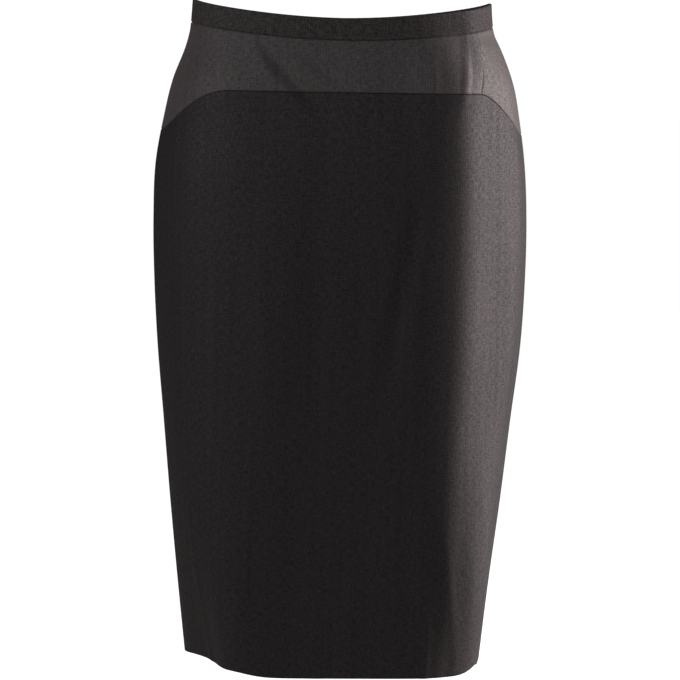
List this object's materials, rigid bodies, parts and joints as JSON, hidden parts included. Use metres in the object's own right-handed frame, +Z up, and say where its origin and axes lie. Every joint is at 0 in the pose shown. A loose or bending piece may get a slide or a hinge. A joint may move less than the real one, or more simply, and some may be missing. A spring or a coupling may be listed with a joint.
{
  "type": "pencil skirt",
  "caption": "Knee-length pencil skirt with a shaped waistband, a fitted hip yoke in lighter cloth, a concealed back zip and a walking vent.",
  "frame": {"origin": "middle of the waist opening, level with the top edge at the centre front", "axes": "+Z up, front towards -Y, the wearer's left side towards +X"},
  "size_m": [0.3447, 0.2354, 0.6092],
  "materials": {
    "charcoal_suiting": "fine plain-weave wool suiting, charcoal, matt",
    "grey_suiting": "fine plain-weave wool suiting, lighter grey, matt",
    "zip_tape": "woven polyester zip tape, black",
    "zip_metal": "black lacquered zinc, satin"
  },
  "bodies": {
    "skirt": {"waistband_front": "charcoal_suiting", "waistband_back_left": "charcoal_suiting", "waistband_back_right": "charcoal_suiting", "yoke_front": "grey_suiting", "yoke_back_left": "grey_suiting", "yoke_back_right": "grey_suiting", "skirt_front": "charcoal_suiting", "skirt_back_left": "charcoal_suiting", "skirt_back_right": "charcoal_suiting", "vent_underlap": "charcoal_suiting", "zip_tape_left": "zip_tape", "zip_tape_right": "zip_tape", "zip_slider": "zip_metal"},
    "zip_pull": {"zip_pull": "zip_metal"}
  },
  "joints": [
    {"name": "pull_swing", "type": "hinge", "parent": "skirt", "child": "zip_pull", "pos_m": [0, 0.09789, -0.0072], "axis": [1, 0, 0], "range_deg": [0, 150]}
  ]
}
